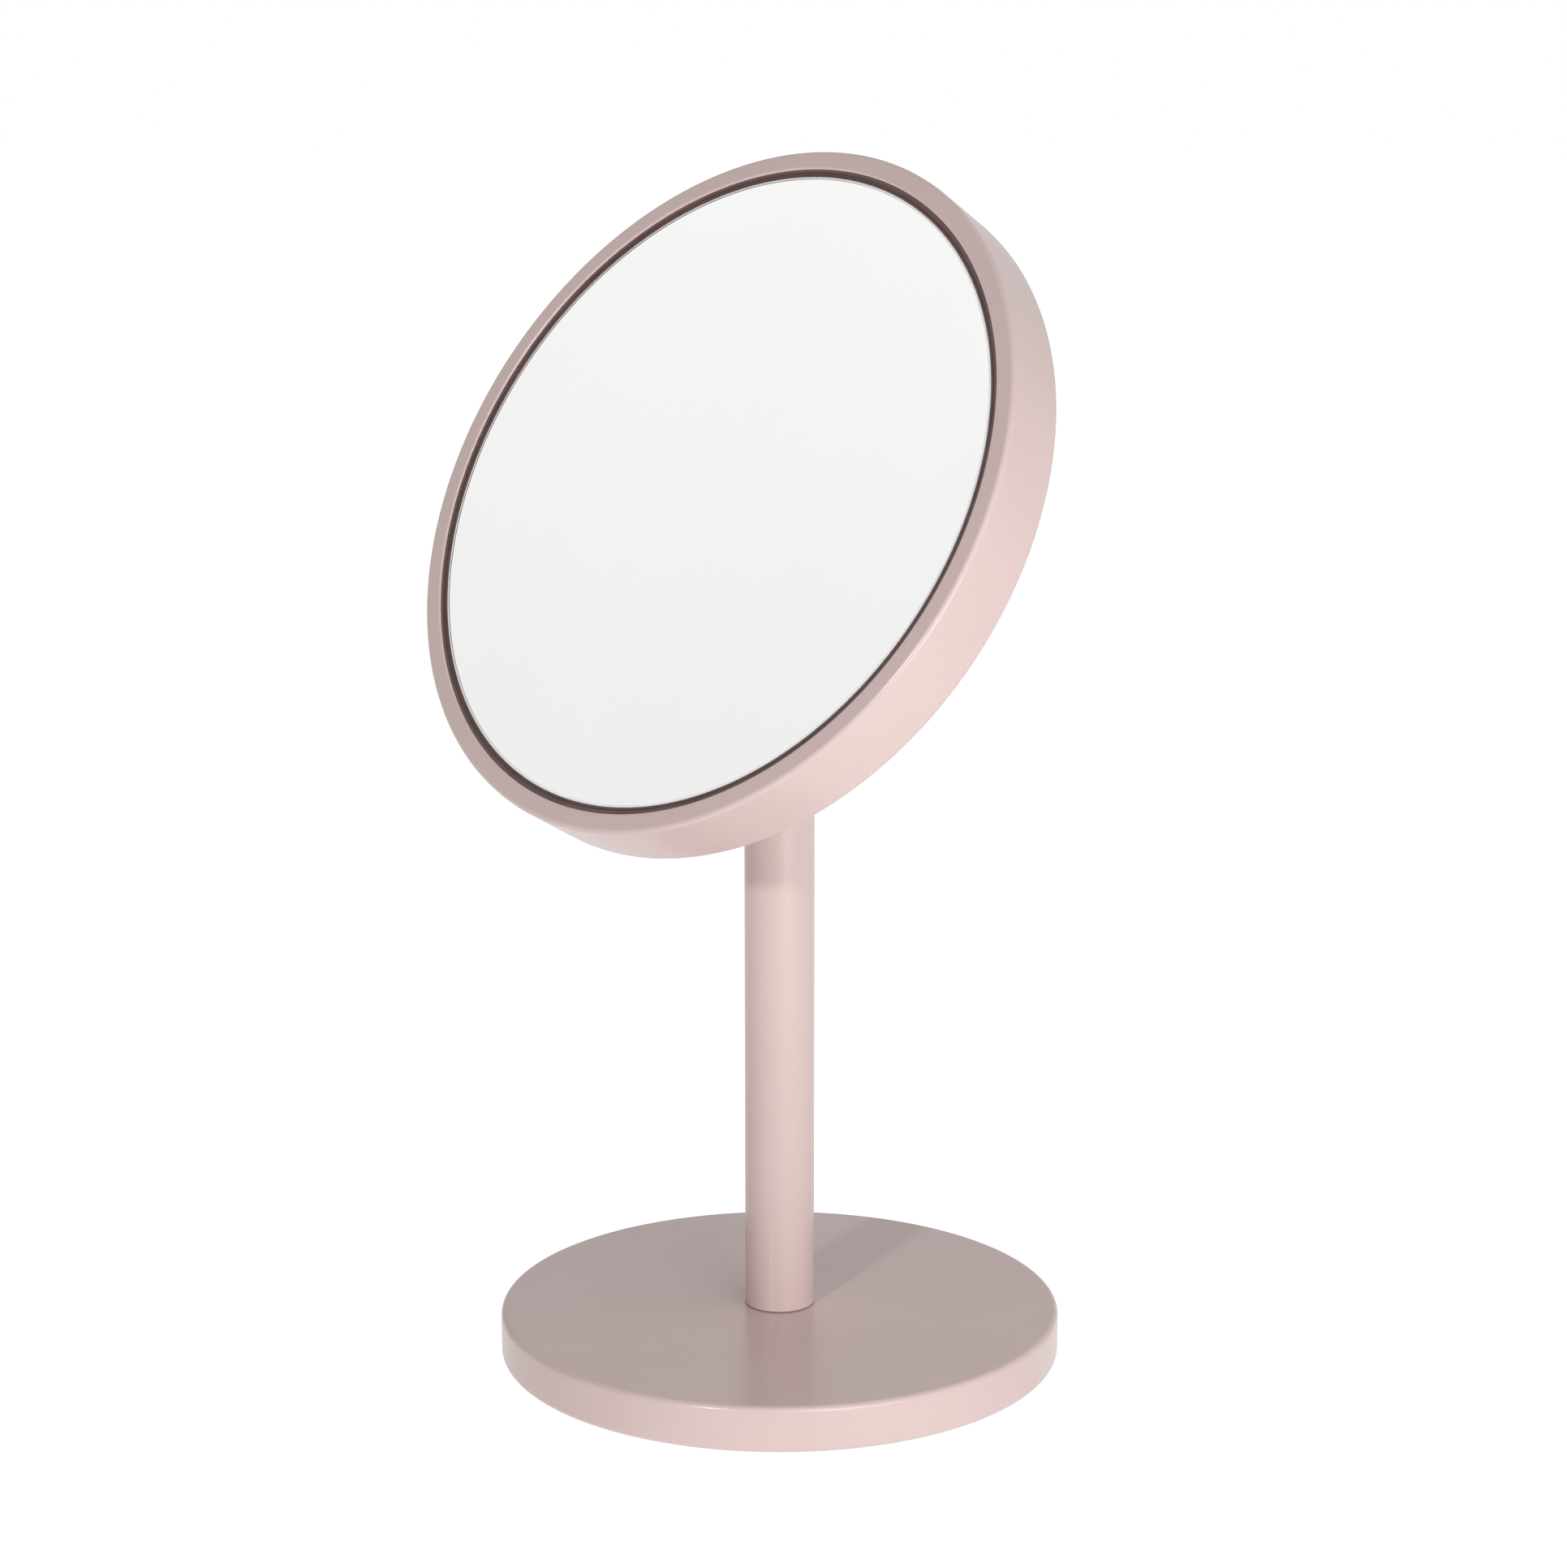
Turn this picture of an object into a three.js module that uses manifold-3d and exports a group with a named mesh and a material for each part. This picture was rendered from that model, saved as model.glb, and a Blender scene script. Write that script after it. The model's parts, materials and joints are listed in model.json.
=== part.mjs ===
// Free-standing round table mirror: a weighted disc foot, a straight pole, and a shallow drum-shaped
// head that turns on the pole's top and tilts on a friction hinge behind its middle.
// Millimetres, +Z up. The origin is the middle of the underside, and the head faces -Y, tilted up.

import * as THREE from 'three';
import { mergeVertices } from 'three/addons/utils/BufferGeometryUtils.js';
import Module from 'manifold-3d';

const wasm = await Module();
wasm.setup();

// ---------------------------------------------------------------- driving dimensions

const GAP = 0.3;                  // clearance between pieces that touch
const OVERLAP = 1;                // how far joined shapes and cutting tools reach past a face

const FOOT_RADIUS = 81;
const FOOT_HEIGHT = 13.3;         // height of the metal disc, without the pad under it
const FOOT_TOP_ROUND = 1.6;
const FOOT_BOTTOM_ROUND = 1.9;
const FOOT_SHEET = 1.2;
const FOOT_HEM = 5;               // how far the shell is rolled in under the ballast
const PAD_PROUD = 0.8;            // how far the pad lifts the metal off the table
const PAD_THICKNESS = 2;

const POLE_RADIUS = 10;
const POLE_WALL = 1.2;
const PLUG_LENGTH = 28;

const PIVOT_HEIGHT = 239;         // tilt axis above the table
const HEAD_TILT = 29.3;           // degrees the face looks up at rest

const HEAD_RADIUS = 101;
const HEAD_DEPTH = 21.5;
const HEAD_FRONT = 34.9;          // tilt axis to the rim's front face
const HEAD_SHEET = 1;
const RIM_OPENING = 95.3;         // radius of the opening in the rim
const RIM_LIP = 6;                // how deep the rim's inner edge turns back
const RIM_ROUND = 1.4;
const RIM_EDGE = 0.6;             // small round on the rim's inner edge
const BACK_ROUND = 2.4;
const COVER_SEAT = 96;            // radius of the step that the back cover lies in
const COVER_LEDGE = 89;           // radius where the ledge under the cover ends

const GLASS_RADIUS = 93.2;
const GLASS_THICKNESS = 3;
const GLASS_SET_BACK = 0.9;       // glass face behind the rim's face
const GLASS_BEVEL = 0.6;          // width of the ground bevel round the glass face
const GLASS_BEVEL_DEPTH = 0.1;
const GLASS_ARRIS = 0.4;          // eased edge at the glass's back
const SEAL_WIDTH = 1.1;
const SEAL_SUNK = 0.2;            // seal's face behind the glass's
const CARRIER_THICKNESS = 2;
const CARRIER_HOLE = 30;
const POST_CIRCLE = 80;           // radius of the circle of posts and cover screws

const HINGE_BOLT = 3;             // radius of the tilt axle
const TONGUE_HALF = 4;            // half the thickness of the knuckle's tongue
const TONGUE_RADIUS = 9;
const SHOULDER_DROP = 9;          // knuckle's shoulder below the tilt axis
const EAR_THICKNESS = 3;
const EAR_RADIUS = 8;
const FRICTION_WASHER = 0.8;
const FLANGE_RADIUS = 21;
const FLANGE_THICKNESS = 2.5;
const HUB_RADIUS = 23;
const BRACKET_SCREW_X = 13.5;
const BRACKET_SCREW_Y = 9;

const SWIVEL_WASHER = 0.5;
const COLLAR_HEIGHT = 4.2;
const STEM_RADIUS = 5;
const THREAD_RADIUS = 4;          // M8, at both ends of the pole
const THREAD_HOLE = 4.5;          // radius of a clearance hole for that thread
const INNER_WASHER_RADIUS = 8;    // washers inside the pole
const THRUST_WASHER = 1;
const BUSH_LENGTH = 16;

const FINE = 56;                  // sides of the large rounds
const MEDIUM = 24;                // sides of the pole and what is in it
const PLATE = 40;                 // sides of the hinge's flange and the hub plate
const COARSE = 10;                // sides of screws, pins and their holes

// ---------------------------------------------------------------- derived places

const footBottom = PAD_PROUD;
const footTop = PAD_PROUD + FOOT_HEIGHT;
const headBack = HEAD_FRONT - HEAD_DEPTH;
const lipEnd = HEAD_FRONT - RIM_LIP;
const glassFace = HEAD_FRONT - GLASS_SET_BACK;
const glassBack = glassFace - GLASS_THICKNESS;
const carrierFace = lipEnd - GAP;
const carrierBack = carrierFace - CARRIER_THICKNESS;
const coverInside = headBack + HEAD_SHEET;
const flangeFace = headBack - GAP;
const flangeBack = flangeFace - FLANGE_THICKNESS;
const earInside = TONGUE_HALF + GAP + FRICTION_WASHER + GAP;
const earOutside = earInside + EAR_THICKNESS;
const collarBottom = -SHOULDER_DROP - COLLAR_HEIGHT;                     // from the tilt axis
const poleTopDrop = collarBottom - GAP - SWIVEL_WASHER - GAP;            // from the tilt axis
const poleTop = PIVOT_HEIGHT + poleTopDrop;
const poleBottom = footTop + GAP;
const poleBore = POLE_RADIUS - POLE_WALL;
const plugRadius = poleBore - GAP;
const bushBottom = poleTopDrop - BUSH_LENGTH;                            // from the tilt axis

// ---------------------------------------------------------------- materials

function paint(name, color, roughness, metalness) {
  const material = new THREE.MeshStandardMaterial({ color, roughness, metalness });
  material.name = name;
  return material;
}

const PINK = 0xdcc5c2;
const materials = {
  powderCoat: () => paint('pink_powder_coat', PINK, 0.45, 0.1),
  castIron: () => paint('cast_iron', 0x4a4a4c, 0.8, 0.6),
  foam: () => paint('dark_foam', 0x2f2b2b, 0.95, 0),
  steel: () => paint('zinc_plated_steel', 0xb9bcc0, 0.35, 0.9),
  acetal: () => paint('acetal', 0xe8e4df, 0.55, 0),
  plastic: () => paint('black_plastic', 0x2a2727, 0.6, 0),
  rubber: () => paint('brown_rubber', 0x46302f, 0.8, 0),
  mirror: () => paint('silvered_glass', 0xf2f3f1, 0.03, 1),
  tape: () => paint('foam_tape', 0xd8d8d4, 0.9, 0),
};

// ---------------------------------------------------------------- geometry helpers

const radians = THREE.MathUtils.degToRad;

/** Points of an arc in a lathe profile, from one angle to another in degrees. */
function arc(centreR, centreZ, radius, from, to, steps) {
  return Array.from({ length: steps + 1 }, (_, i) => {
    const angle = radians(from + ((to - from) * i) / steps);
    return [centreR + radius * Math.cos(angle), centreZ + radius * Math.sin(angle)];
  });
}

/** Revolves a closed profile of [radius, z] points about Z. */
function lathe(profile, sides) {
  const points = profile.map(([r, z]) => new THREE.Vector2(r, z));
  if (THREE.ShapeUtils.isClockWise(points)) points.reverse();
  points.push(points[0].clone());
  return new THREE.LatheGeometry(points, sides).rotateX(Math.PI / 2);
}

function ring(inner, outer, bottom, top, sides) {
  return lathe([[inner, bottom], [outer, bottom], [outer, top], [inner, top]], sides);
}

function rod(radius, bottom, top, sides) {
  return lathe([[0, bottom], [radius, bottom], [radius, top], [0, top]], sides);
}

function hexPrism(acrossFlats, bottom, top) {
  return rod(acrossFlats / Math.sqrt(3), bottom, top, 6);
}

/** Turns a piece made about Z so that it lies along X. */
function alongX(geometry) {
  return geometry.rotateY(Math.PI / 2);
}

/** An outline drawn in Y and Z, given a thickness along X. */
function slabAcrossX(shape, fromX, toX) {
  const slab = new THREE.ExtrudeGeometry(shape, {
    depth: toX - fromX, bevelEnabled: false, curveSegments: COARSE,
  });
  const basis = new THREE.Matrix4().makeBasis(
    new THREE.Vector3(0, 1, 0), new THREE.Vector3(0, 0, 1), new THREE.Vector3(1, 0, 0),
  );
  return slab.applyMatrix4(basis).translate(fromX, 0, 0);
}

function toSolid(geometry) {
  const bare = geometry.clone();
  bare.deleteAttribute('normal');
  bare.deleteAttribute('uv');
  const merged = mergeVertices(bare, 1e-4);
  const index = Array.from(merged.index.array);
  const triangles = [];
  for (let i = 0; i < index.length; i += 3) {
    const [a, b, c] = index.slice(i, i + 3);
    if (a !== b && b !== c && c !== a) triangles.push(a, b, c);
  }
  return new wasm.Manifold(new wasm.Mesh({
    numProp: 3,
    vertProperties: new Float32Array(merged.attributes.position.array),
    triVerts: new Uint32Array(triangles),
  }));
}

function toGeometry(solid) {
  const mesh = solid.getMesh();
  const geometry = new THREE.BufferGeometry();
  geometry.setAttribute('position', new THREE.BufferAttribute(mesh.vertProperties, 3));
  geometry.setIndex(new THREE.BufferAttribute(mesh.triVerts, 1));
  geometry.computeVertexNormals();
  return geometry;
}

function join(first, ...others) {
  return toGeometry(others.reduce((solid, other) => solid.add(toSolid(other)), toSolid(first)));
}

function cut(body, ...tools) {
  return toGeometry(tools.reduce((solid, tool) => solid.subtract(toSolid(tool)), toSolid(body)));
}

function addMesh(group, name, geometry, material) {
  const mesh = new THREE.Mesh(geometry, material);
  mesh.name = name;
  group.add(mesh);
  return mesh;
}

/** The four corners [x, y] of a rectangle about the origin. */
function corners(x, y) {
  return [[x, y], [-x, y], [-x, -y], [x, -y]];
}

// ---------------------------------------------------------------- the stand

/** Pressed steel shell: flat top, rounded edges, and a hem rolled in under the ballast. */
function baseCover(holeRadius) {
  const topCentre = [FOOT_RADIUS - FOOT_TOP_ROUND, footTop - FOOT_TOP_ROUND];
  const bottomCentre = [FOOT_RADIUS - FOOT_BOTTOM_ROUND, footBottom + FOOT_BOTTOM_ROUND];
  return lathe([
    [holeRadius, footTop],
    ...arc(...topCentre, FOOT_TOP_ROUND, 90, 0, 4),
    ...arc(...bottomCentre, FOOT_BOTTOM_ROUND, 0, -90, 4),
    [FOOT_RADIUS - FOOT_HEM, footBottom],
    [FOOT_RADIUS - FOOT_HEM, footBottom + FOOT_SHEET],
    ...arc(...bottomCentre, FOOT_BOTTOM_ROUND - FOOT_SHEET, -90, 0, 2),
    ...arc(...topCentre, FOOT_TOP_ROUND - FOOT_SHEET, 0, 90, 2),
    [holeRadius, footTop - FOOT_SHEET],
  ], FINE);
}

/** Cast disc that fills the shell, with a pocket underneath for the screw's head. */
function baseBallast(holeRadius, pocketRadius, pocketRoof) {
  const radius = FOOT_RADIUS - FOOT_SHEET - GAP;
  const bottom = footBottom + FOOT_SHEET + GAP;
  const top = footTop - FOOT_SHEET - GAP;
  const chamfer = 1;
  return lathe([
    [holeRadius, top],
    [radius - chamfer, top],
    [radius, top - chamfer],
    [radius, bottom + chamfer],
    [radius - chamfer, bottom],
    [pocketRadius, bottom],
    [pocketRadius, pocketRoof],
    [holeRadius, pocketRoof],
  ], FINE);
}

function footPad() {
  const radius = FOOT_RADIUS - FOOT_HEM - GAP;
  const softEdge = 0.5;
  return lathe([
    [0, 0],
    [radius - softEdge, 0],
    [radius, softEdge],
    [radius, PAD_THICKNESS],
    [0, PAD_THICKNESS],
  ], FINE);
}

/** Screw made about Z with its head's top at z = 0 and its shank below, with a hexagon socket. */
function socketScrew(headProfile, headHeight, shankRadius, length, socket) {
  const body = lathe([
    [0, 0],
    ...headProfile,
    [shankRadius, -headHeight],
    [shankRadius, -length],
    [0, -length],
  ], COARSE);
  return cut(body, hexPrism(socket.acrossFlats, -socket.depth, OVERLAP));
}

function makeStand() {
  const stand = new THREE.Group();
  const pocketRadius = 11;
  const pocketRoof = 9.5;
  const washerRadius = 8.5;
  const washerThickness = 1.4;
  const headRadius = 6.5;
  const headChamfer = 0.4;
  const headHeight = 4.5;
  const headTop = pocketRoof - GAP - washerThickness - GAP;
  const screwReach = 26;

  addMesh(stand, 'foot_pad', footPad(), materials.foam());
  addMesh(stand, 'base_cover', baseCover(THREAD_HOLE), materials.powderCoat());
  const ballast = baseBallast(THREAD_HOLE, pocketRadius, pocketRoof);
  addMesh(stand, 'base_ballast', ballast, materials.castIron());
  const washer = ring(THREAD_HOLE, washerRadius, headTop + GAP, pocketRoof - GAP, MEDIUM);
  addMesh(stand, 'base_washer', washer, materials.steel());

  const headProfile = [
    [headRadius - headChamfer, 0],
    [headRadius, -headChamfer],
    [headRadius, -headHeight],
  ];
  const socket = { acrossFlats: 5, depth: 2.5 };
  const screw = socketScrew(headProfile, headHeight, THREAD_RADIUS, headHeight + screwReach, socket);
  const screwMesh = addMesh(stand, 'base_screw', screw, materials.steel());
  screwMesh.position.z = headTop - headHeight;
  screwMesh.rotation.x = Math.PI;

  const boreSpare = 2;
  const boreTop = headTop + screwReach + boreSpare;
  const boreRadius = THREAD_RADIUS + GAP;
  const plugTop = poleBottom + PLUG_LENGTH;
  const chamfer = 0.6;
  addMesh(stand, 'pole_plug', lathe([
    [0, plugTop],
    [plugRadius - chamfer, plugTop],
    [plugRadius, plugTop - chamfer],
    [plugRadius, poleBottom + chamfer],
    [plugRadius - chamfer, poleBottom],
    [boreRadius, poleBottom],
    [boreRadius, boreTop],
    [0, boreTop],
  ], MEDIUM), materials.steel());

  const tube = ring(poleBore, POLE_RADIUS, poleBottom, poleTop, MEDIUM);
  addMesh(stand, 'pole_tube', tube, materials.powderCoat());
  const bush = ring(STEM_RADIUS + GAP, plugRadius, poleTop - BUSH_LENGTH, poleTop, MEDIUM);
  addMesh(stand, 'top_bush', bush, materials.steel());
  const thrustTop = poleTop - BUSH_LENGTH - GAP;
  const thrust = ring(STEM_RADIUS + GAP, INNER_WASHER_RADIUS, thrustTop - THRUST_WASHER, thrustTop, MEDIUM);
  addMesh(stand, 'thrust_washer', thrust, materials.steel());
  return stand;
}

// ---------------------------------------------------------------- the swivel on the pole

/** Collar and stem turned in one piece, with a flat tongue on top that the tilt axle goes through. */
function swivelKnuckle(stemEnd, threadTop) {
  const chamfer = 0.6;
  const turned = lathe([
    [0, stemEnd],
    [THREAD_RADIUS, stemEnd],
    [THREAD_RADIUS, threadTop],
    [STEM_RADIUS, threadTop],
    [STEM_RADIUS, collarBottom],
    [POLE_RADIUS - chamfer, collarBottom],
    [POLE_RADIUS, collarBottom + chamfer],
    [POLE_RADIUS, -SHOULDER_DROP - chamfer],
    [POLE_RADIUS - chamfer, -SHOULDER_DROP],
    [0, -SHOULDER_DROP],
  ], MEDIUM);
  const root = -SHOULDER_DROP - OVERLAP;
  const outline = new THREE.Shape();
  outline.moveTo(-TONGUE_RADIUS, root);
  outline.lineTo(TONGUE_RADIUS, root);
  outline.absarc(0, 0, TONGUE_RADIUS, 0, Math.PI, false);
  const tongue = slabAcrossX(outline, -TONGUE_HALF, TONGUE_HALF);
  const bore = alongX(rod(HINGE_BOLT + GAP, -POLE_RADIUS, POLE_RADIUS, COARSE));
  return cut(join(turned, tongue), bore);
}

/** Thin washer bent into three waves around its circle. */
function waveWasher(inner, outer, middleZ, thickness, waveHeight) {
  const waves = 3;
  const washer = ring(inner, outer, middleZ - thickness / 2, middleZ + thickness / 2, MEDIUM);
  const position = washer.attributes.position;
  for (let i = 0; i < position.count; i += 1) {
    const angle = Math.atan2(position.getY(i), position.getX(i));
    position.setZ(i, position.getZ(i) + (waveHeight / 2) * Math.cos(waves * angle));
  }
  return washer;
}

function makeSwivel() {
  const swivel = new THREE.Group();
  swivel.position.z = PIVOT_HEIGHT;
  const washerThickness = 0.4;
  const waveHeight = 0.7;
  const waveTop = bushBottom - GAP - THRUST_WASHER - GAP;
  const waveMiddle = waveTop - (washerThickness + waveHeight) / 2;
  const nutTop = waveMiddle - (washerThickness + waveHeight) / 2 - GAP;
  const nutHeight = 7;
  const nutFlats = 13;
  const stemProud = 3;            // stem below the nut
  const boreRadius = STEM_RADIUS + GAP;

  const ringBottom = poleTopDrop + GAP;
  const slip = ring(boreRadius, POLE_RADIUS - GAP, ringBottom, ringBottom + SWIVEL_WASHER, MEDIUM);
  addMesh(swivel, 'swivel_washer', slip, materials.acetal());
  const knuckle = swivelKnuckle(nutTop - nutHeight - stemProud, nutTop + GAP);
  addMesh(swivel, 'swivel_knuckle', knuckle, materials.powderCoat());
  const wave = waveWasher(boreRadius, INNER_WASHER_RADIUS, waveMiddle, washerThickness, waveHeight);
  addMesh(swivel, 'wave_washer', wave, materials.steel());
  const nutBore = rod(THREAD_RADIUS + GAP, nutTop - nutHeight - OVERLAP, nutTop + OVERLAP, COARSE);
  const nut = cut(hexPrism(nutFlats, nutTop - nutHeight, nutTop), nutBore);
  addMesh(swivel, 'stem_nut', nut, materials.steel());
  return swivel;
}

// ---------------------------------------------------------------- the head
// In the head's own frame X is to the side, Y runs up the glass and Z comes out of its face.
// The tilt axis is the X axis.

/** Spun shell: front rim with its edge turned back, side wall, and a joggled ledge for the cover. */
function headCase() {
  const frontCentre = [HEAD_RADIUS - RIM_ROUND, HEAD_FRONT - RIM_ROUND];
  const backCentre = [HEAD_RADIUS - BACK_ROUND, headBack + BACK_ROUND];
  const ledgeBack = coverInside + GAP;
  const joggle = COVER_SEAT + HEAD_SHEET;
  return lathe([
    [RIM_OPENING, lipEnd],
    ...arc(RIM_OPENING + RIM_EDGE, HEAD_FRONT - RIM_EDGE, RIM_EDGE, 180, 90, 2),
    ...arc(...frontCentre, RIM_ROUND, 90, 0, 4),
    ...arc(...backCentre, BACK_ROUND, 0, -90, 4),
    [COVER_SEAT, headBack],
    [COVER_SEAT, ledgeBack],
    [COVER_LEDGE, ledgeBack],
    [COVER_LEDGE, ledgeBack + HEAD_SHEET],
    [joggle, ledgeBack + HEAD_SHEET],
    [joggle, coverInside],
    ...arc(...backCentre, BACK_ROUND - HEAD_SHEET, -90, 0, 2),
    [HEAD_RADIUS - HEAD_SHEET, HEAD_FRONT - RIM_ROUND],
    [HEAD_RADIUS - RIM_ROUND, HEAD_FRONT - HEAD_SHEET],
    [RIM_OPENING + HEAD_SHEET, HEAD_FRONT - HEAD_SHEET],
    [RIM_OPENING + HEAD_SHEET, lipEnd],
  ], FINE);
}

/** Rubber ring round the glass, with a fine groove along the middle of its face. */
function edgeSeal() {
  const inner = GLASS_RADIUS + GAP;
  const outer = inner + SEAL_WIDTH;
  const middle = (inner + outer) / 2;
  const face = glassFace - SEAL_SUNK;
  const groove = 0.2;
  return lathe([
    [inner, carrierFace + GAP],
    [outer, carrierFace + GAP],
    [outer, face],
    [middle + groove, face],
    [middle, face - groove],
    [middle - groove, face],
    [inner, face],
  ], FINE);
}

function mirrorGlass() {
  return lathe([
    [0, glassBack],
    [GLASS_RADIUS - GLASS_ARRIS, glassBack],
    [GLASS_RADIUS, glassBack + GLASS_ARRIS],
    [GLASS_RADIUS, glassFace - GLASS_BEVEL_DEPTH],
    [GLASS_RADIUS - GLASS_BEVEL, glassFace],
    [0, glassFace],
  ], FINE);
}

/** Flush back disc with countersunk holes for its own screws and plain ones for the bracket's. */
function backCover(countersink) {
  const disc = rod(COVER_SEAT - GAP, headBack, coverInside, FINE);
  const margin = 0.5;
  const slope = (countersink.outer - countersink.inner) / HEAD_SHEET;
  const screwHoles = corners(...postCorner()).map(([x, y]) => lathe([
    [0, headBack - margin],
    [countersink.outer + slope * margin, headBack - margin],
    [countersink.inner - slope * margin, coverInside + margin],
    [0, coverInside + margin],
  ], COARSE).translate(x, y, 0));
  return cut(disc, ...screwHoles, ...bracketHoles(headBack - OVERLAP, coverInside + OVERLAP));
}

function postCorner() {
  const reach = POST_CIRCLE * Math.SQRT1_2;
  return [reach, reach];
}

function bracketHoles(bottom, top) {
  const radius = 2;
  return corners(BRACKET_SCREW_X, BRACKET_SCREW_Y)
    .map(([x, y]) => rod(radius, bottom, top, COARSE).translate(x, y, 0));
}

/** Round flange on the cover with two ears that hold the tilt axle. */
function hingeBracket() {
  const flange = rod(FLANGE_RADIUS, flangeBack, flangeFace, PLATE);
  const outline = new THREE.Shape();
  outline.moveTo(EAR_RADIUS, flangeBack + OVERLAP);
  outline.lineTo(-EAR_RADIUS, flangeBack + OVERLAP);
  outline.absarc(0, 0, EAR_RADIUS, Math.PI, 2 * Math.PI, false);
  const rightEar = slabAcrossX(outline, earInside, earOutside);
  const leftEar = slabAcrossX(outline, -earOutside, -earInside);
  const bore = alongX(rod(HINGE_BOLT + GAP, -earOutside - OVERLAP, earOutside + OVERLAP, COARSE));
  const holes = bracketHoles(flangeBack - OVERLAP, flangeFace + OVERLAP);
  return cut(join(flange, rightEar, leftEar), bore, ...holes);
}

function addHinge(head) {
  addMesh(head, 'hinge_bracket', hingeBracket(), materials.powderCoat());

  const washerFace = TONGUE_HALF + GAP;
  const washerRadius = 7.5;
  for (const [side, sign] of [['left', -1], ['right', 1]]) {
    const washer = ring(HINGE_BOLT + GAP, washerRadius, 0, FRICTION_WASHER, MEDIUM);
    const mesh = addMesh(head, `friction_washer_${side}`, alongX(washer), materials.acetal());
    mesh.position.x = sign > 0 ? washerFace : -washerFace - FRICTION_WASHER;
  }

  const spring = { radius: 5.8, height: 0.8, sheet: 0.5 };
  const springStart = earOutside + GAP;
  const springEnd = springStart + spring.height;
  const nut = { flats: 10, height: 4.5, domeRadius: 4.6, domeHeight: 3 };
  const nutStart = springEnd + GAP;
  const nutEnd = nutStart + nut.height;
  const boltHead = 2.6;

  const boltProfile = [[3.4, 0], [4.6, -0.8], [5, -boltHead]];
  const boltLength = nutEnd + earOutside + GAP + boltHead;
  const boltSocket = { acrossFlats: 4, depth: 1.6 };
  const bolt = socketScrew(boltProfile, boltHead, HINGE_BOLT, boltLength, boltSocket);
  const boltMesh = addMesh(head, 'hinge_bolt', bolt, materials.steel());
  boltMesh.rotation.y = -Math.PI / 2;
  boltMesh.position.x = -earOutside - GAP - boltHead;

  const coned = lathe([
    [HINGE_BOLT + GAP, springEnd - spring.sheet],
    [HINGE_BOLT + GAP, springEnd],
    [spring.radius, springStart + spring.sheet],
    [spring.radius, springStart],
  ], MEDIUM);
  addMesh(head, 'hinge_disc_spring', alongX(coned), materials.steel());

  const domeArc = arc(0, 0, 1, 0, 90, 5)
    .map(([r, z]) => [r * nut.domeRadius, nutEnd + z * nut.domeHeight]);
  const dome = lathe([
    [0, nutStart + OVERLAP],
    [nut.domeRadius, nutStart + OVERLAP],
    ...domeArc,
  ], MEDIUM);
  const bore = rod(HINGE_BOLT + GAP, nutStart - OVERLAP, nutEnd + OVERLAP, COARSE);
  const domeNut = cut(join(hexPrism(nut.flats, nutStart, nutEnd), dome), bore);
  addMesh(head, 'hinge_nut', alongX(domeNut), materials.steel());
}

function addBracketScrews(head) {
  const headHeight = 2.2;
  const profile = [[1.9, 0], [3, -0.7], [3.4, -headHeight]];
  const shank = 1.7;
  const reach = 8;
  const socket = { acrossFlats: 2.5, depth: 1.3 };
  corners(BRACKET_SCREW_X, BRACKET_SCREW_Y).forEach(([x, y], i) => {
    const screw = socketScrew(profile, headHeight, shank, headHeight + reach, socket);
    const mesh = addMesh(head, `bracket_screw_${i + 1}`, screw, materials.steel());
    mesh.position.set(x, y, flangeBack - GAP - headHeight);
    mesh.rotation.x = Math.PI;
  });
  const hubStart = coverInside + GAP;
  const hubThickness = 2.5;
  const hub = rod(HUB_RADIUS, hubStart, hubStart + hubThickness, PLATE);
  const hubHoles = bracketHoles(hubStart - OVERLAP, hubStart + hubThickness + OVERLAP);
  addMesh(head, 'hub_plate', cut(hub, ...hubHoles), materials.steel());
}

function addCoverAndPosts(head) {
  const screwHead = { radius: 3, height: 1.2, shank: 1.5, length: 8 };
  const socket = { acrossFlats: 2, depth: 0.9 };
  const slope = (screwHead.radius - screwHead.shank) / screwHead.height;
  const countersink = {
    outer: screwHead.radius + GAP,
    inner: screwHead.radius - slope * HEAD_SHEET + GAP,
  };
  addMesh(head, 'back_cover', backCover(countersink), materials.powderCoat());

  const postStart = coverInside + GAP;
  const postEnd = carrierBack - GAP;
  const postRadius = 4;
  corners(...postCorner()).forEach(([x, y], i) => {
    const profile = [[screwHead.radius, 0]];
    const screw = socketScrew(profile, screwHead.height, screwHead.shank, screwHead.length, socket);
    const screwMesh = addMesh(head, `cover_screw_${i + 1}`, screw, materials.steel());
    screwMesh.position.set(x, y, headBack);
    screwMesh.rotation.x = Math.PI;
    const post = ring(screwHead.shank + GAP, postRadius, postStart, postEnd, COARSE).translate(x, y, 0);
    addMesh(head, `carrier_post_${i + 1}`, post, materials.steel());
  });
}

function addMirror(head) {
  const carrierRadius = HEAD_RADIUS - HEAD_SHEET - GAP;
  const carrier = ring(CARRIER_HOLE, carrierRadius, carrierBack, carrierFace, FINE);
  addMesh(head, 'carrier_plate', carrier, materials.plastic());
  const tape = { length: 40, width: 15, distance: 66 };
  const tapeStart = carrierFace + GAP;
  const tapeEnd = glassBack - GAP;
  for (let i = 0; i < 4; i += 1) {
    const strip = new THREE.BoxGeometry(tape.length, tape.width, tapeEnd - tapeStart);
    strip.translate(0, tape.distance, (tapeStart + tapeEnd) / 2).rotateZ((i * Math.PI) / 2);
    addMesh(head, `glass_tape_${i + 1}`, strip, materials.tape());
  }
  addMesh(head, 'edge_seal', edgeSeal(), materials.rubber());
  addMesh(head, 'mirror_glass', mirrorGlass(), materials.mirror());
}

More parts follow.
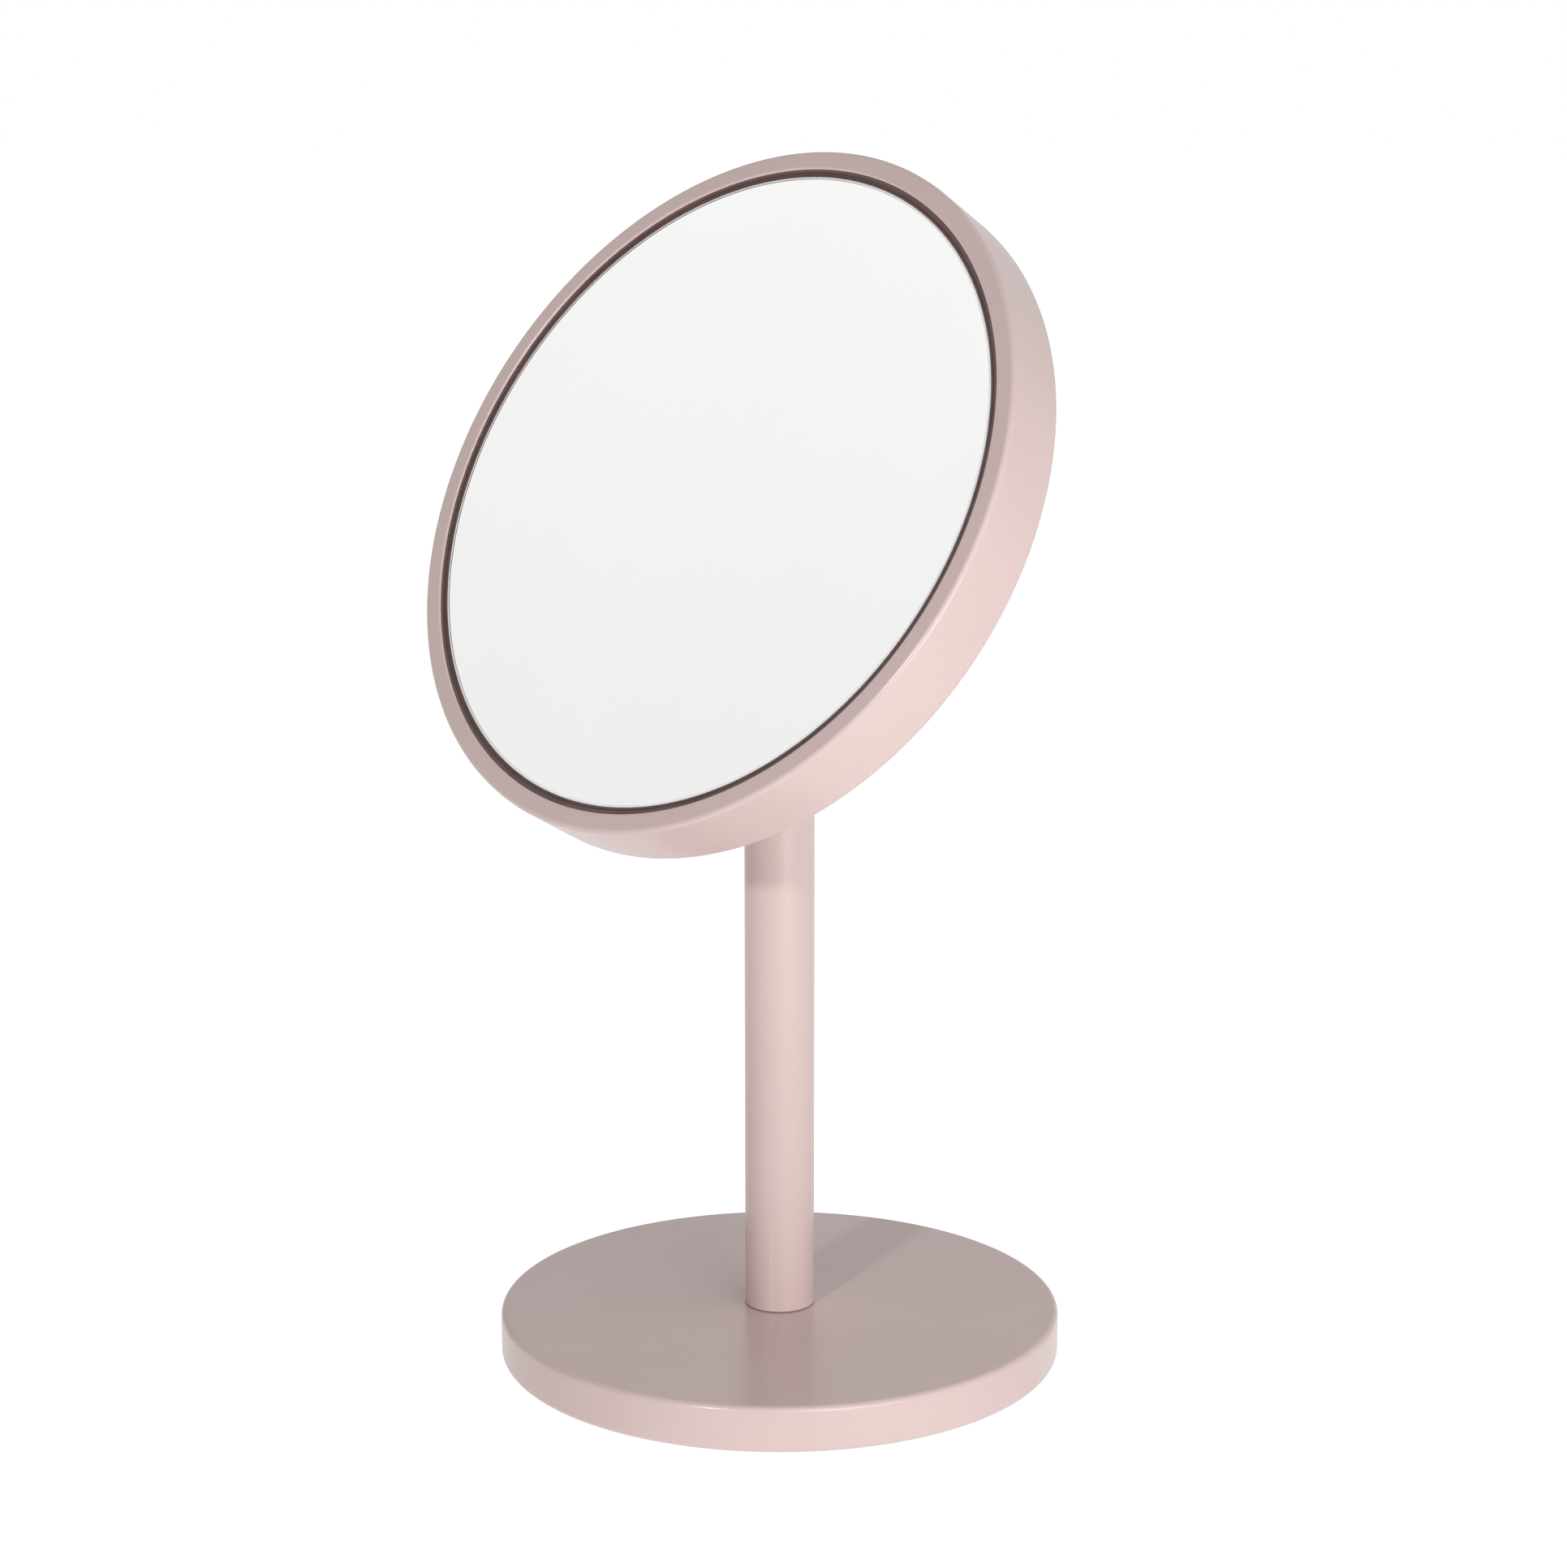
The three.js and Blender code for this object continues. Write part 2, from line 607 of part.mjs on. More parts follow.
function makeHead() {
  const head = new THREE.Group();
  head.position.z = PIVOT_HEIGHT;
  head.rotation.x = radians(90 - HEAD_TILT);
  addHinge(head);
  addBracketScrews(head);
  addCoverAndPosts(head);
  addMirror(head);
  addMesh(head, 'head_case', headCase(), materials.powderCoat());
  return head;
}

const tableMirror = new THREE.Group();
tableMirror.add(makeStand(), makeSwivel(), makeHead());

export default tableMirror;
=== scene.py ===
"""A free-standing round table mirror on a plain pale floor.

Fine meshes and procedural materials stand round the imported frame. Lengths are in metres.
"""
import json
import math

import bmesh
import bpy
from mathutils import Matrix, Vector


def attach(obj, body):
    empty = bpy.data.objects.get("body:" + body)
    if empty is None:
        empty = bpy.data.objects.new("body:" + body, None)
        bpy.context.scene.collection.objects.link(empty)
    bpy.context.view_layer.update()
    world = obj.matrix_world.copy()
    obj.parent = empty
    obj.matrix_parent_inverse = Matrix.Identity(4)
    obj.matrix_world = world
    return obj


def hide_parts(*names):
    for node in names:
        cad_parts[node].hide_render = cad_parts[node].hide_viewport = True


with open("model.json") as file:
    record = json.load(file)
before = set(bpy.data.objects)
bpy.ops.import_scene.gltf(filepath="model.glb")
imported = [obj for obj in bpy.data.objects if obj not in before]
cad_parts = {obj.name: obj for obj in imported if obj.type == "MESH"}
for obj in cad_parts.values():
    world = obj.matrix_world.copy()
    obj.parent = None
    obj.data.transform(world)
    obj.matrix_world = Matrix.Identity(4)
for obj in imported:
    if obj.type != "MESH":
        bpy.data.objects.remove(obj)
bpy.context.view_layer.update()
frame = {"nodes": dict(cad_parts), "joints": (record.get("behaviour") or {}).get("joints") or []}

# ---------------------------------------------------------------- sizes and places

MM = 0.001
TINY = 1e-7                       # points nearer than this are the same point
GAP = 0.3 * MM                    # clearance that the frame keeps between touching pieces

FOOT_SHEET = 1.2 * MM             # thickness of the foot's pressed sheet
FOOT_TOP_ROUND = 1.6 * MM
FOOT_BOTTOM_ROUND = 1.9 * MM
HEAD_SHEET = 1.0 * MM             # thickness of the drum's spun sheet
RIM_ROUND = 1.4 * MM              # the fold between the rim's face and the side wall
RIM_EDGE = 0.6 * MM               # the round at the rim's opening
BACK_ROUND = 2.4 * MM
GLASS_ARRIS = 0.4 * MM            # the eased back edge of the glass
GLASS_CLEARANCE = 0.02 * MM       # between the glass and its seal
GLASS_BEVEL = 0.6 * MM            # width of the ground bevel round the glass face
GLASS_BEVEL_DEPTH = 0.1 * MM
SILVER_DEPTH = 0.15 * MM          # the silvered face behind the bevel's inner edge
SCREW_HOLE_RADIUS = 2 * MM        # the bracket screws' holes

VERY_FINE = 288                   # sides of the foot, the head and the glass
FINE = 96                         # sides of the pole and the hinge's rounds
MEDIUM = 40                       # sides of screws
LOBE_STEPS = 40                   # steps of the half rounds of the tongue and the ears

joints = {joint["name"]: joint for joint in frame["joints"]}
pivot = Vector(joints["head_tilt"]["pos_m"])
rest_tilt = -joints["head_tilt"]["range_deg"][0]      # the lower limit is the upright head

# In the head's own frame Z comes out of the glass and X is the tilt axis.
ground_place = Matrix.Identity(4)
swivel_place = Matrix.Translation(pivot)
head_place = swivel_place @ Matrix.Rotation(math.radians(90 - rest_tilt), 4, "X")
hinge_place = head_place @ Matrix.Rotation(math.radians(90), 4, "Y")


def local_points(node, place):
    """The vertices of a CAD node in the frame of a place."""
    inverse = place.inverted()
    return [inverse @ vertex.co for vertex in frame["nodes"][node].data.vertices]


def local_box(node, place):
    """Lowest and highest corner of a CAD node in the frame of a place."""
    points = local_points(node, place)
    low = Vector([min(point[axis] for point in points) for axis in range(3)])
    high = Vector([max(point[axis] for point in points) for axis in range(3)])
    return low, high


def span(node, place=ground_place, above=-math.inf):
    """Least radius, greatest radius, lowest and highest Z of a CAD node about the Z axis of a place.

    Only the points above a height count, where one is given.
    """
    points = [point for point in local_points(node, place) if point.z > above]
    radii = [math.hypot(point.x, point.y) for point in points]
    heights = [point.z for point in points]
    return min(radii), max(radii), min(heights), max(heights)


def numbered(stem):
    """The four CAD nodes stem_1 to stem_4."""
    return [f"{stem}_{number}" for number in range(1, 5)]


# ---------------------------------------------------------------- outlines and meshes

def filleted(corners, steps=6):
    """A closed outline from (x, y, radius) corners; a corner with a radius becomes an arc."""
    outline = []
    for index, (x, y, rounding) in enumerate(corners):
        corner = Vector((x, y))
        if not rounding:
            outline.append(corner)
            continue
        to_last = (Vector(corners[index - 1][:2]) - corner).normalized()
        to_next = (Vector(corners[(index + 1) % len(corners)][:2]) - corner).normalized()
        half = to_last.angle(to_next) / 2
        reach = rounding / math.tan(half)
        centre = corner + (to_last + to_next).normalized() * (rounding / math.sin(half))
        start = corner + to_last * reach - centre
        end = corner + to_next * reach - centre
        first = math.atan2(start.y, start.x)
        turn = math.atan2(end.y, end.x) - first
        turn = (turn + math.pi) % (2 * math.pi) - math.pi
        for step in range(steps + 1):
            angle = first + turn * step / steps
            outline.append(centre + Vector((math.cos(angle), math.sin(angle))) * rounding)
    return outline


def arc(centre, radius, first, last, steps):
    """Points of an arc between two angles in degrees."""
    angles = [math.radians(first + (last - first) * step / steps) for step in range(steps + 1)]
    return [Vector((centre[0] + radius * math.cos(a), centre[1] + radius * math.sin(a)))
            for a in angles]


def to_object(name, shape, place):
    """Makes an object of a bmesh, with its origin at a place."""
    bmesh.ops.remove_doubles(shape, verts=shape.verts, dist=TINY)
    bmesh.ops.recalc_face_normals(shape, faces=shape.faces)
    mesh = bpy.data.meshes.new(name)
    shape.to_mesh(mesh)
    shape.free()
    piece = bpy.data.objects.new(name, mesh)
    piece.matrix_world = place
    bpy.context.scene.collection.objects.link(piece)
    return piece


def lathe(name, outline, sides, place=ground_place):
    """Revolves a closed outline of (radius, height) about the Z axis of a place."""
    shape = bmesh.new()
    rings = []
    for radius, height in outline:
        if radius < TINY:
            rings.append([shape.verts.new((0, 0, height))] * sides)
            continue
        angles = [2 * math.pi * side / sides for side in range(sides)]
        rings.append([shape.verts.new((radius * math.cos(a), radius * math.sin(a), height))
                      for a in angles])
    for index, ring in enumerate(rings):
        after = rings[(index + 1) % len(rings)]
        for side in range(sides):
            other = (side + 1) % sides
            loop = list(dict.fromkeys([ring[side], ring[other], after[other], after[side]]))
            if len(loop) > 2:
                shape.faces.new(loop)
    return to_object(name, shape, place)


def slab(name, outline, low, high, place=ground_place, axis="X"):
    """Gives an outline a thickness along X (outline in Y and Z) or along Z (outline in X and Y)."""
    shape = bmesh.new()
    layers = []
    for depth in (low, high):
        if axis == "X":
            layers.append([shape.verts.new((depth, a, b)) for a, b in outline])
        else:
            layers.append([shape.verts.new((a, b, depth)) for a, b in outline])
    for layer in layers:
        shape.faces.new(layer)
    for index in range(len(outline)):
        other = (index + 1) % len(outline)
        shape.faces.new([layers[0][index], layers[0][other], layers[1][other], layers[1][index]])
    return to_object(name, shape, place)


def rod(name, radius, low, high, place, sides=MEDIUM):
    """A plain round bar along the Z axis of a place."""
    return lathe(name, [(0, low), (radius, low), (radius, high), (0, high)], sides, place)


def hexagon(across_flats):
    """The six corners of a hexagon."""
    radius = across_flats / math.sqrt(3)
    return arc((0, 0), radius, 0, 300, 5)


def apply_modifiers(piece):
    """Puts the result of a piece's modifiers into its mesh."""
    evaluated = piece.evaluated_get(bpy.context.evaluated_depsgraph_get())
    mesh = bpy.data.meshes.new_from_object(evaluated)
    piece.modifiers.clear()
    old = piece.data
    piece.data = mesh
    bpy.data.meshes.remove(old)
    return piece


def combine(piece, others, operation):
    """Joins, cuts or trims a piece with other solids, which are used up."""
    for other in others:
        modifier = piece.modifiers.new("combine", "BOOLEAN")
        modifier.operation = operation
        modifier.solver = "EXACT"
        modifier.object = other
    apply_modifiers(piece)
    for other in others:
        bpy.data.objects.remove(other)
    return piece


def soften(piece, width, angle=35):
    """Rounds every sharp edge of a joined or cut piece."""
    modifier = piece.modifiers.new("soften", "BEVEL")
    modifier.width = width
    modifier.segments = 3
    modifier.limit_method = "ANGLE"
    modifier.angle_limit = math.radians(angle)
    return apply_modifiers(piece)


def shade(piece, sharp_angle):
    """Smooth faces, sharp edges where the surface turns, and normals that keep flat faces flat."""
    shape = bmesh.new()
    shape.from_mesh(piece.data)
    for face in shape.faces:
        face.smooth = True
    for edge in shape.edges:
        edge.smooth = len(edge.link_faces) == 2 and edge.calc_face_angle() < math.radians(sharp_angle)
    shape.to_mesh(piece.data)
    shape.free()
    modifier = piece.modifiers.new("normals", "WEIGHTED_NORMAL")
    modifier.keep_sharp = True
    modifier.weight = 100
    apply_modifiers(piece)


def place_piece(piece, material, body, slot, *nodes, sharp_angle=32):
    """Finishes a piece: its shading, its material, its body and the CAD nodes that it stands for."""
    shade(piece, sharp_angle)
    piece.data.materials.clear()
    piece.data.materials.append(material)
    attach(piece, body)
    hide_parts(*nodes)
    return piece


# ---------------------------------------------------------------- materials

class Surface:
    """A Principled material that is filled in with procedural nodes. Noise scales are per metre."""

    def __init__(self, name, **sockets):
        self.material = bpy.data.materials.new(name)
        self.material.use_nodes = True
        self.tree = self.material.node_tree
        self.shader = self.tree.nodes["Principled BSDF"]
        for socket, value in sockets.items():
            self.shader.inputs[socket.replace("_", " ")].default_value = value
        self.place = self.tree.nodes.new("ShaderNodeTexCoord").outputs["Object"]
        self.height = None

    def node(self, kind, inputs=(), **settings):
        """Adds a node; an input is either a value or another node's socket."""
        made = self.tree.nodes.new(kind)
        for setting, value in settings.items():
            setattr(made, setting, value)
        for socket, value in dict(inputs).items():
            if isinstance(value, bpy.types.NodeSocket):
                self.tree.links.new(value, made.inputs[socket])
            else:
                made.inputs[socket].default_value = value
        return made

    def stretched(self, scale):
        """The place on the piece, scaled by a different amount along each axis."""
        return self.node("ShaderNodeMapping", {"Vector": self.place, "Scale": scale}).outputs["Vector"]

    def noise(self, scale, detail=2.0, vector=None):
        made = self.node("ShaderNodeTexNoise", {
            "Vector": vector or self.place, "Scale": scale, "Detail": detail})
        return made.outputs["Fac"]

    def cells(self, scale):
        made = self.node("ShaderNodeTexVoronoi", {"Vector": self.place, "Scale": scale})
        return made.outputs["Distance"]

    def spread(self, value, low, high, from_low=0.3, from_high=0.7):
        """Maps the middle of a noise's range onto low to high."""
        made = self.node("ShaderNodeMapRange", {
            "Value": value, "From Min": from_low, "From Max": from_high, "To Min": low, "To Max": high})
        return made.outputs["Result"]

    def mix(self, factor, first, second):
        """Mixes two colours; either may be another node's socket."""
        made = self.node("ShaderNodeMix", data_type="RGBA")
        self.tree.links.new(factor, made.inputs[0])
        for index, value in ((6, first), (7, second)):          # the node's two colour sockets
            if isinstance(value, bpy.types.NodeSocket):
                self.tree.links.new(value, made.inputs[index])
            else:
                made.inputs[index].default_value = (*value, 1)
        return made.outputs[2]

    def color(self, value):
        self.tree.links.new(value, self.shader.inputs["Base Color"])

    def roughness(self, value):
        self.tree.links.new(value, self.shader.inputs["Roughness"])

    def bump(self, value, distance, strength=1.0):
        """Adds a layer of relief on top of the ones before."""
        inputs = {"Height": value, "Distance": distance, "Strength": strength}
        if self.height:
            inputs["Normal"] = self.height
        self.height = self.node("ShaderNodeBump", inputs).outputs["Normal"]
        self.tree.links.new(self.height, self.shader.inputs["Normal"])


PINK_LIGHT = (0.650, 0.508, 0.490)
PINK_DARK = (0.616, 0.474, 0.456)


def powder_coat():
    """Satin pink powder coat: soft mottling, fine grain and a faint orange-peel skin."""
    surface = Surface("pink_powder_coat", Roughness=0.25, IOR=1.46)
    mottling = surface.spread(surface.noise(26, 3.0), 0.0, 1.0)
    grain = surface.spread(surface.noise(1700, 2.0), 0.0, 1.0)
    body = surface.mix(mottling, PINK_LIGHT, PINK_DARK)
    surface.color(surface.mix(surface.spread(grain, 0.0, 0.6, 0.0, 1.0), body, PINK_DARK))
    surface.roughness(surface.spread(surface.noise(420, 3.0), 0.235, 0.266))
    surface.bump(surface.noise(520, 1.0), 0.003 * MM)
    surface.bump(grain, 0.002 * MM)
    return surface.material


def zinc_steel():
    """Zinc-plated steel with faint turning marks and a cloudy plated bloom."""
    surface = Surface("zinc_plated_steel", Metallic=1.0, Roughness=0.3)
    bloom = surface.spread(surface.noise(310, 4.0), 0.0, 1.0)
    surface.color(surface.mix(bloom, (0.60, 0.61, 0.63), (0.44, 0.45, 0.47)))
    marks = surface.noise(900, 2.0, surface.stretched((1, 1, 14)))
    surface.roughness(surface.spread(marks, 0.22, 0.42))
    surface.bump(marks, 0.004 * MM)
    return surface.material


def cast_iron():
    """Dark cast iron with a rough, uneven skin."""
    surface = Surface("cast_iron", Metallic=0.6, Roughness=0.8)
    scale = surface.spread(surface.noise(160, 5.0), 0.0, 1.0)
    surface.color(surface.mix(scale, (0.075, 0.075, 0.080), (0.040, 0.038, 0.037)))
    surface.roughness(surface.spread(surface.noise(500, 3.0), 0.65, 0.9))
    surface.bump(surface.noise(700, 4.0), 0.12 * MM)
    return surface.material


def cellular_foam(name, light, dark, cell_scale):
    """Closed-cell foam: small round cells in a dull skin, each painted darker towards its sunken middle
    as painted shade in the pores.
    """
    surface = Surface(name, Roughness=0.9)
    cell = surface.cells(cell_scale)
    # darker towards each cell's middle, where the bump sinks: painted shade in the pores
    surface.color(surface.mix(surface.spread(cell, 0.0, 1.0, 0.1, 0.6), dark, light))
    surface.roughness(surface.spread(surface.noise(cell_scale / 3), 0.8, 0.97))
    surface.bump(cell, 0.08 * MM, 0.7)
    return surface.material


def moulded(name, light, dark, low, high):
    """Moulded plastic or rubber with a fine matt skin."""
    surface = Surface(name, Roughness=(low + high) / 2)
    cloud = surface.spread(surface.noise(90, 3.0), 0.0, 1.0)
    surface.color(surface.mix(cloud, light, dark))
    surface.roughness(surface.spread(surface.noise(1100, 2.0), low, high))
    surface.bump(surface.noise(1500, 2.0), 0.008 * MM)
    return surface.material


def silvered_glass():
    """The mirror face: a neutral silver reflection with the faintest haze."""
    surface = Surface("silvered_glass", Metallic=1.0, Roughness=0.01)
    haze = surface.spread(surface.noise(18, 4.0), 0.0, 1.0)
    surface.color(surface.mix(haze, (0.938, 0.942, 0.930), (0.924, 0.930, 0.918)))
    surface.roughness(surface.spread(surface.noise(60, 4.0), 0.004, 0.016))
    return surface.material


def ground_glass_edge():
    """The ground bevel and edge of the glass: bright, fine and frosted."""
    surface = Surface("ground_glass_edge", Roughness=0.4, IOR=1.5)
    cloud = surface.spread(surface.noise(140, 3.0), 0.0, 1.0)
    surface.color(surface.mix(cloud, (0.95, 0.96, 0.95), (0.88, 0.90, 0.89)))
    surface.roughness(surface.spread(surface.noise(1200, 2.0), 0.3, 0.5))
    surface.bump(surface.noise(1600, 2.0), 0.002 * MM)
    return surface.material


PAINT = powder_coat()
STEEL = zinc_steel()
IRON = cast_iron()
FOAM = cellular_foam("dark_foam", (0.030, 0.028, 0.028), (0.012, 0.011, 0.011), 1600)
TAPE = cellular_foam("foam_tape", (0.70, 0.70, 0.68), (0.55, 0.55, 0.53), 2400)
ACETAL = moulded("acetal", (0.74, 0.72, 0.68), (0.66, 0.64, 0.60), 0.42, 0.56)
PLASTIC = moulded("black_plastic", (0.024, 0.023, 0.023), (0.016, 0.015, 0.015), 0.45, 0.6)
# the brown rubber is the seal's own colour; on the seal's lip it is painted shade and on the mirror's
# step a painted reflection
RUBBER_AND_PAINTED_SHADE = moulded("brown_rubber", (0.120, 0.066, 0.062), (0.085, 0.046, 0.043), 0.42, 0.6)
MIRROR = silvered_glass()
GLASS_EDGE = ground_glass_edge()


# ---------------------------------------------------------------- the stand

def make_base_cover():
    """Pressed shell of the foot, with rounded edges and a hem rolled in underneath."""
    hole, radius, low, high = span("base_cover")
    hem = span("foot_pad")[1] + GAP
    sheet = FOOT_SHEET
    outline = filleted([
        (hole, high, 0),
        (radius, high, FOOT_TOP_ROUND),
        (radius, low, FOOT_BOTTOM_ROUND),
        (hem, low, 0.4 * MM),
        (hem, low + sheet, 0.3 * MM),
        (radius - sheet, low + sheet, FOOT_BOTTOM_ROUND - sheet),
        (radius - sheet, high - sheet, FOOT_TOP_ROUND - sheet),
        (hole, high - sheet, 0),
    ], steps=8)
    cover = lathe("foot_shell", outline, VERY_FINE)
    place_piece(cover, PAINT, "stand", "pink_powder_coat", "base_cover")


def make_foot_pad():
    """Foam disc that the foot rests on."""
    _, radius, low, high = span("foot_pad")
    outline = filleted([
        (0, low, 0),
        (radius, low, 0.5 * MM),
        (radius, high, 0.1 * MM),
        (0, high, 0),
    ])
    pad = lathe("foam_foot_pad", outline, VERY_FINE)
    place_piece(pad, FOAM, "stand", "dark_foam", "foot_pad")


def make_ring(name, node, place, rounding, sides=FINE):
    """A plain ring with eased edges, the size of its CAD node."""
    inner, outer, low, high = span(node, place)
    outline = filleted([
        (inner, low, rounding),
        (outer, low, rounding),
        (outer, high, rounding),
        (inner, high, rounding),
    ], steps=4)
    return lathe(name, outline, sides, place)


def make_pole():
    """The tube, and the slip ring on its upper end."""
    pole = make_ring("pole", "pole_tube", ground_place, 0.25 * MM, 2 * FINE)
    place_piece(pole, PAINT, "stand", "pink_powder_coat", "pole_tube")
    slip_ring = make_ring("slip_ring", "swivel_washer", ground_place, 0.1 * MM)
    place_piece(slip_ring, ACETAL, "swivel", "acetal", "swivel_washer")


# ---------------------------------------------------------------- the swivel and the hinge

def make_knuckle():
    """Collar and stem turned in one piece, and the tongue that the tilt axle goes through."""
    _, collar_radius, stem_end, tongue_top = span("swivel_knuckle", swivel_place)
    tongue_radius = tongue_top
    tongue_half = 4 * MM              # half the tongue's thickness
    shoulder = -9 * MM                # the collar's top, below the tilt axle
    thread_length = 10.3 * MM
    thread_step = 1 * MM              # the thread is this much thinner than the stem
    overlap = 1 * MM                  # how far the tongue is sunk into the collar
    washer_inner, _, _, washer_high = span("swivel_washer", swivel_place)
    collar_low = washer_high + GAP
    stem_radius = washer_inner - GAP
    turned = lathe("knuckle", filleted([
        (0, stem_end, 0),
        (stem_radius - thread_step, stem_end, 0.4 * MM),
        (stem_radius - thread_step, stem_end + thread_length, 0),
        (stem_radius, stem_end + thread_length, 0),
        (stem_radius, collar_low, 0),
        (collar_radius, collar_low, 0.3 * MM),
        (collar_radius, shoulder, 0.9 * MM),
        (0, shoulder, 0),
    ]), FINE, swivel_place)
    sunk = shoulder - overlap
    outline = [Vector((-tongue_radius, sunk)), Vector((tongue_radius, sunk))]
    outline += arc((0, 0), tongue_radius, 0, 180, LOBE_STEPS)
    tongue = slab("tongue", outline, -tongue_half, tongue_half, swivel_place)
    bore_radius = span("friction_washer_left", hinge_place)[0]
    bore = rod("bore", bore_radius, -collar_radius, collar_radius, hinge_place)
    combine(turned, [tongue], "UNION")
    combine(turned, [bore], "DIFFERENCE")
    soften(turned, 0.35 * MM)
    place_piece(turned, PAINT, "swivel", "pink_powder_coat", "swivel_knuckle")


def bracket_screw_places():
    """Each bracket screw, its middle and the height of its head's outer face, in the head's frame."""
    for node in numbered("bracket_screw"):
        low, high = local_box(node, head_place)
        yield node, (low + high) / 2, low.z


def make_bracket():
    """Round flange with two ears that hold the tilt axle."""
    flange_radius, back, face = span("hinge_bracket", head_place)[1:]
    thickness = 2.5 * MM
    overlap = 1.5 * MM                # how far the ears are sunk into the flange
    ear_radius = -back
    ear_outside = local_box("hinge_disc_spring", head_place)[0].x - GAP
    ear_inside = local_box("friction_washer_right", head_place)[1].x + GAP
    flange = lathe("hinge_bracket_plate", filleted([
        (0, face - thickness, 0),
        (flange_radius, face - thickness, 0.7 * MM),
        (flange_radius, face, 0.2 * MM),
        (0, face, 0),
    ]), FINE, head_place)
    sunk = face - overlap
    outline = [Vector((ear_radius, sunk)), Vector((-ear_radius, sunk))]
    outline += arc((0, 0), ear_radius, 180, 360, LOBE_STEPS)
    right = slab("ear", outline, ear_inside, ear_outside, head_place)
    left = slab("ear", outline, -ear_outside, -ear_inside, head_place)
    combine(flange, [right, left], "UNION")
    bore_radius = span("friction_washer_left", hinge_place)[0]
    tools = [rod("bore", bore_radius, -2 * ear_outside, 2 * ear_outside, hinge_place)]
    for _, centre, _ in bracket_screw_places():
        at = head_place @ Matrix.Translation((centre.x, centre.y, 0))
        tools.append(rod("hole", SCREW_HOLE_RADIUS, face - 2 * thickness, face + thickness, at))
    combine(flange, tools, "DIFFERENCE")
    soften(flange, 0.4 * MM)
    place_piece(flange, PAINT, "head", "pink_powder_coat", "hinge_bracket")


def socket_screw(name, place, head, shank_radius, length, socket, sides=MEDIUM):
    """A screw with its head's top at Z = 0, its shank below and an eased hexagon socket.

    The head is (radius, height, dome), and one with no dome is a countersunk cone. The socket is
    (across flats, depth).
    """
    radius, height, dome = head
    corners = [(0, 0, 0), (radius, 0, dome or 0.12 * MM)]
    if dome:
        corners.append((radius, -height, 0.15 * MM))
    corners += [
        (shank_radius, -height, 0),
        (shank_radius, -length, 0.3 * MM),
        (0, -length, 0),
    ]
    screw = lathe(name, filleted(corners), sides, place)
    across_flats, depth = socket
    key = slab("key", hexagon(across_flats), -depth, 1 * MM, place, axis="Z")
    return soften(combine(screw, [key], "DIFFERENCE"), 0.08 * MM, angle=50)


def make_tilt_axle():
    """The bolt that the head tilts on, with a low domed head."""
    bolt_low, bolt_high = local_box("hinge_bolt", head_place)
    ear_outside = local_box("hinge_disc_spring", head_place)[0].x - GAP
    head_radius = span("hinge_bolt", hinge_place)[1]
    head_height = -ear_outside - GAP - bolt_low.x
    dome = 0.75 * head_height
    shank_radius = span("friction_washer_left", hinge_place)[0] - GAP
    socket = (4 * MM, 1.6 * MM)
    from_left = (head_place @ Matrix.Translation((bolt_low.x, 0, 0))
                 @ Matrix.Rotation(math.radians(-90), 4, "Y"))
    bolt = socket_screw("tilt_axle", from_left, (head_radius, head_height, dome), shank_radius,
                        bolt_high.x - bolt_low.x, socket, FINE)
    place_piece(bolt, STEEL, "head", "zinc_steel", "hinge_bolt")


def make_dome_nut():
    """The nut on the tilt axle: hexagon flats with eased corners, and a dome."""
    low, high = span("hinge_nut", hinge_place)[2:]
    across_flats = 10 * MM
    flats_height = 4.5 * MM
    dome_radius = 4.6 * MM
    dome_steps = 14
    overlap = 1 * MM                  # how far each cutting or joining solid runs past the nut's faces
    corner_radius = across_flats / math.sqrt(3) + 0.1 * MM
    dome_low = low + flats_height
    nut = slab("dome_nut", hexagon(across_flats), low, dome_low, hinge_place, axis="Z")
    easing = lathe("easing", [
        (0, low),
        (across_flats / 2, low),
        (corner_radius, low + 0.5 * MM),
        (corner_radius, dome_low - 0.6 * MM),
        (across_flats / 2 - 0.1 * MM, dome_low),
        (0, dome_low),
    ], FINE, hinge_place)
    combine(nut, [easing], "INTERSECT")
    outline = [Vector((0, low + overlap)), Vector((dome_radius, low + overlap))]
    for point in arc((0, 0), 1, 0, 90, dome_steps):
        outline.append(Vector((point.x * dome_radius, dome_low + point.y * (high - dome_low))))
    outline[-1].x = 0
    combine(nut, [lathe("dome", outline, FINE, hinge_place)], "UNION")
    bore_radius = span("friction_washer_left", hinge_place)[0]
    bolt_end = local_box("hinge_bolt", head_place)[1].x
    bore = rod("bore", bore_radius, low - overlap, bolt_end + overlap, hinge_place)
    combine(nut, [bore], "DIFFERENCE")
    soften(nut, 0.12 * MM)
    place_piece(nut, STEEL, "head", "zinc_steel", "hinge_nut")


def make_disc_spring():
    """The coned spring washer under the nut."""
    inner, outer, low, high = span("hinge_disc_spring", hinge_place)
    metal = 0.5 * MM
    edge = 0.08 * MM
    spring = lathe("disc_spring", filleted([
        (inner, high - metal, edge),
        (inner, high, edge),
        (outer, low + metal, edge),
        (outer, low, edge),
    ], steps=3), FINE, hinge_place)
    place_piece(spring, STEEL, "head", "zinc_steel", "hinge_disc_spring")


def make_friction_washers():
    """The two washers between the tongue and the ears."""
    for side in ("left", "right"):
        node = f"friction_washer_{side}"
        washer = make_ring(f"tilt_washer_{side}", node, hinge_place, 0.12 * MM)
        place_piece(washer, ACETAL, "head", "acetal", node)


